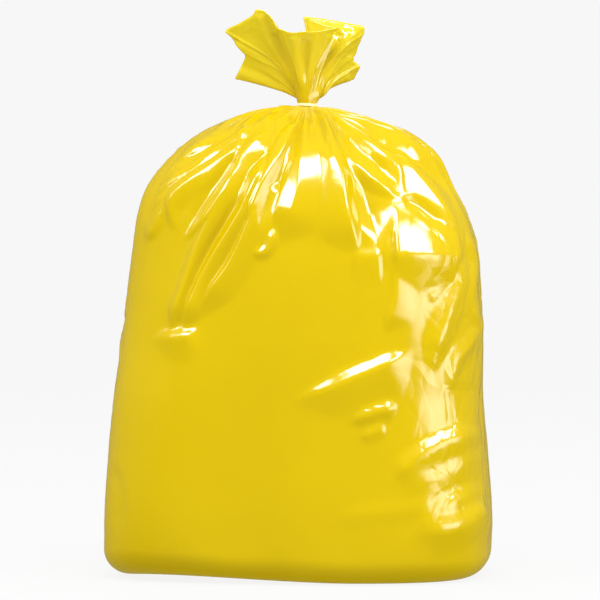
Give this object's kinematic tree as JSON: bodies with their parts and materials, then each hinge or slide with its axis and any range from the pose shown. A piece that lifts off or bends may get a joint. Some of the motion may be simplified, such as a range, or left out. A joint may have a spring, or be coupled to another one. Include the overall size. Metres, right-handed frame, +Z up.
{
  "type": "garbage bag",
  "caption": "Full glossy yellow refuse sack standing on its flat base, with pleated shoulders, a tied neck and an open ruffle of film above the tie.",
  "frame": {"origin": "the middle of the base, on the floor", "axes": "+Z up, +X to the right and -Y towards the viewer as seen from the front"},
  "size_m": [0.5084, 0.3509, 0.7373],
  "materials": {
    "sack_film": "glossy, slightly translucent film",
    "tie_strip": "satin strip"
  },
  "bodies": {
    "root": {"sack": "sack_film", "neck_tie": "tie_strip"}
  },
  "joints": []
}
